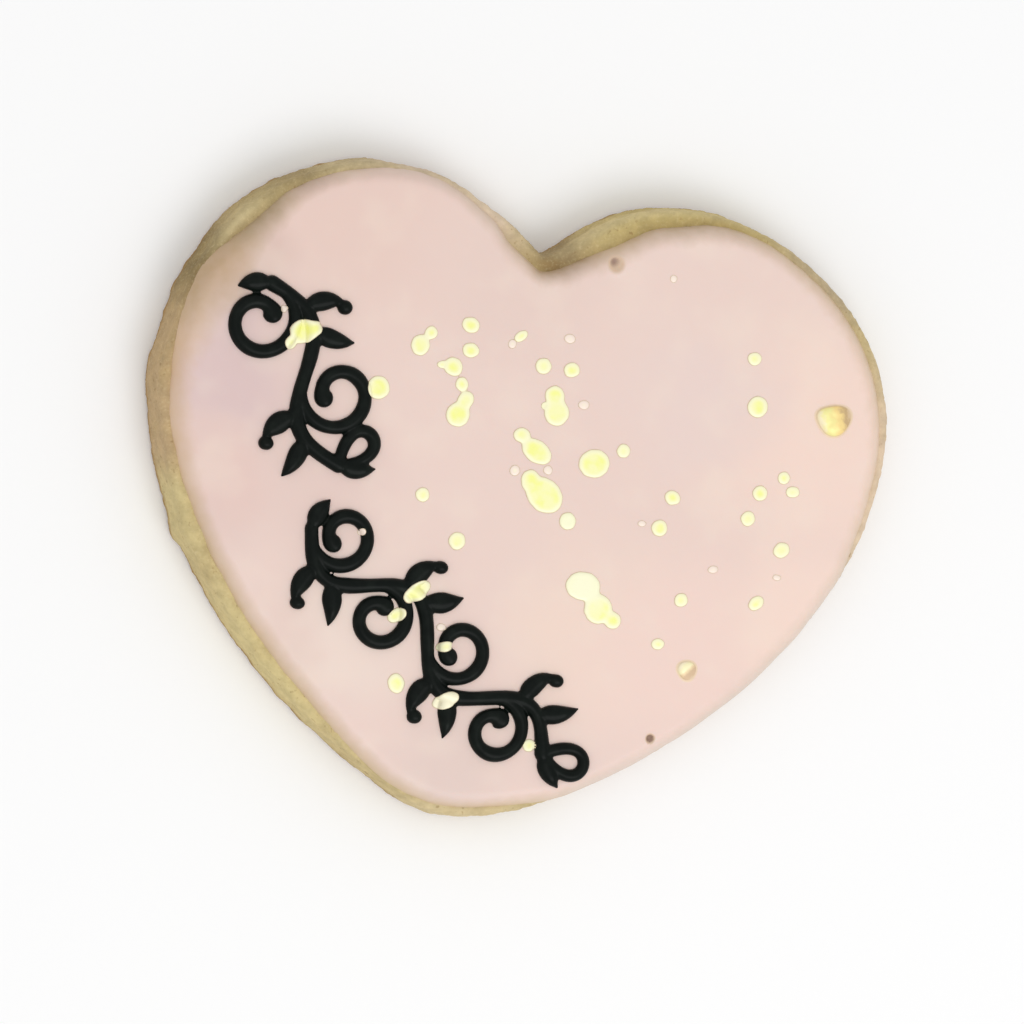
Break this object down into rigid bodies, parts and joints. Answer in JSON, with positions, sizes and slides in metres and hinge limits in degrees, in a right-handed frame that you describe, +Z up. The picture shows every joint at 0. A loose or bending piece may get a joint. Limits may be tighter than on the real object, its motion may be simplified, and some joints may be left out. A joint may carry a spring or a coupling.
{
  "type": "iced heart biscuit",
  "caption": "Flat heart-shaped biscuit with a sheet of smooth royal icing, a piped vine scroll across one side and small flat drops of gold.",
  "frame": {"origin": "centre of the box that bounds the biscuit, on its flat underside", "axes": "+Z up through the icing; +X across the heart, from the left lobe to the right lobe; +Y from the tip to the notch"},
  "size_m": [0.0924, 0.0778, 0.0095],
  "materials": {
    "biscuit": "matte, finely crumbed baked dough",
    "icing": "satin set sugar icing in pale pink, with black piping and gold paint drops"
  },
  "bodies": {
    "root": {"biscuit": "biscuit", "icing": "icing"}
  },
  "joints": []
}
